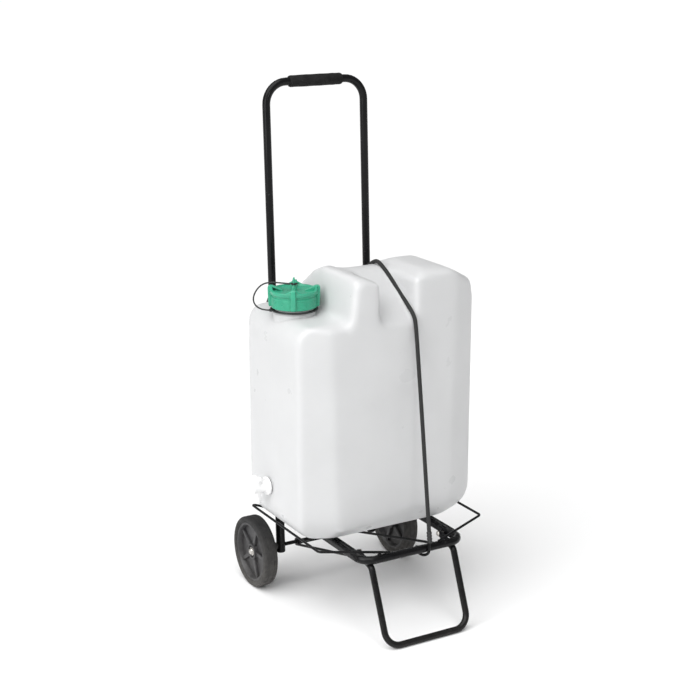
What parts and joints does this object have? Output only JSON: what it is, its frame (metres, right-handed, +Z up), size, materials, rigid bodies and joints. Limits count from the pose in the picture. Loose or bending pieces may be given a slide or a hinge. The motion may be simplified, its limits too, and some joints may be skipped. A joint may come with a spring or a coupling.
{
  "type": "portable waste tote",
  "caption": "Blow-moulded waste water tank with screw cap and drain tap, strapped to a folding two-wheeled trolley with telescoping handle and front stand.",
  "frame": {"origin": "on the floor, under the middle of the axle", "axes": "+Z up, +X along the axle to the right, -Y to the front, where the stand is"},
  "size_m": [0.4385, 0.4863, 1.055],
  "materials": {
    "black_tube": "gloss black powder coat",
    "zinc_steel": "zinc plated",
    "black_rubber": "matt",
    "black_tyre": "matt",
    "black_plastic": "moulded",
    "tank_plastic": "translucent natural polyethylene",
    "tap_plastic": "white moulded",
    "cap_plastic": "green moulded",
    "seal_rubber": "matt",
    "strap_elastic": "braided elastic"
  },
  "bodies": {
    "frame": {"back_tube_left": "black_tube", "back_tube_right": "black_tube", "tube_collar_left": "black_plastic", "tube_collar_right": "black_plastic", "tube_plug_left": "black_plastic", "tube_plug_right": "black_plastic", "upper_cross_tube": "black_tube", "lower_cross_tube": "black_tube", "hinge_bracket_left": "black_tube", "hinge_bracket_right": "black_tube", "pivot_bolt_left": "zinc_steel", "pivot_bolt_right": "zinc_steel", "axle_rod": "black_tube", "axle_spacer_left": "black_plastic", "axle_spacer_right": "black_plastic", "push_nut_left": "zinc_steel", "push_nut_right": "zinc_steel"},
    "wheel_left": {"tyre_left": "black_tyre", "wheel_centre_left": "black_plastic", "wheel_bush_inner_left": "black_plastic", "wheel_bush_outer_left": "black_plastic"},
    "wheel_right": {"tyre_right": "black_tyre", "wheel_centre_right": "black_plastic", "wheel_bush_inner_right": "black_plastic", "wheel_bush_outer_right": "black_plastic"},
    "handle": {"handle_tube": "black_tube", "handle_grip": "black_rubber", "guide_bush_left": "black_plastic", "guide_bush_right": "black_plastic"},
    "platform": {"platform_tube": "black_tube", "wing_wire_left": "black_tube", "wing_wire_right": "black_tube", "stand_rivet_left": "zinc_steel", "stand_rivet_right": "zinc_steel"},
    "stand": {"stand_tube": "black_tube"},
    "support": {"support_wire": "black_tube"},
    "tank": {"tank_shell": "tank_plastic", "tap_back_nut": "tap_plastic", "tap_gasket": "seal_rubber", "tap_body": "tap_plastic", "tether_ring": "black_plastic", "cap_tether": "black_plastic", "elastic_strap": "strap_elastic", "strap_hook_front": "black_tube", "strap_hook_rear": "black_tube", "strap_ferrule_front": "black_plastic", "strap_ferrule_rear": "black_plastic"},
    "tap_key": {"tap_key": "tap_plastic"},
    "cap_seal": {"cap_seal": "seal_rubber", "tether_eye": "black_plastic"},
    "cap": {"screw_cap": "cap_plastic"}
  },
  "joints": [
    {"name": "wheel_left_spin", "type": "hinge", "parent": "frame", "child": "wheel_left", "pos_m": [-0.1715, 0, 0.075], "axis": [1, 0, 0], "continuous": true},
    {"name": "wheel_right_spin", "type": "hinge", "parent": "frame", "child": "wheel_right", "pos_m": [0.1715, 0, 0.075], "axis": [1, 0, 0], "continuous": true},
    {"name": "handle_slide", "type": "slide", "parent": "frame", "child": "handle", "axis": [0, -0.04, -0.9992], "range_m": [0, 0.345]},
    {"name": "tank_lift", "type": "slide", "parent": "frame", "child": "tank", "axis": [0, 0, 1], "range_m": [0, 0.6], "deforming": ["elastic_strap", "strap_hook_front", "strap_hook_rear", "strap_ferrule_front", "strap_ferrule_rear"]},
    {"name": "platform_fold", "type": "hinge", "parent": "frame", "child": "platform", "pos_m": [0, -0.024, 0.1677], "axis": [-1, 0, 0], "range_deg": [0, 92.39]},
    {"name": "support_fold", "type": "hinge", "parent": "frame", "child": "support", "pos_m": [0, 0, 0.075], "axis": [-1, 0, 0], "range_deg": [0, 71.1]},
    {"name": "stand_fold", "type": "hinge", "parent": "platform", "child": "stand", "pos_m": [0, -0.296, 0.165], "axis": [1, 0, 0], "range_deg": [0, 95]},
    {"name": "tap_turn", "type": "hinge", "parent": "tank", "child": "tap_key", "pos_m": [-0.226, -0.12, 0.266], "axis": [0, 0, 1], "range_deg": [0, 90]},
    {"name": "cap_lift", "type": "slide", "parent": "tank", "child": "cap_seal", "axis": [0, 0, 1], "range_m": [0, 0.07], "deforming": ["cap_tether"]},
    {"name": "cap_turn", "type": "hinge", "parent": "cap_seal", "child": "cap", "pos_m": [-0.149, -0.141, 0.65], "axis": [0, 0, 1], "range_deg": [0, 541]}
  ],
  "couplings": [
    {"joint": "platform_fold", "follows": "tank_lift", "rad_per_m": 2.6846},
    {"joint": "support_fold", "follows": "tank_lift", "rad_per_m": 2.0653},
    {"joint": "cap_turn", "follows": "cap_lift", "rad_per_m": 134.64}
  ]
}
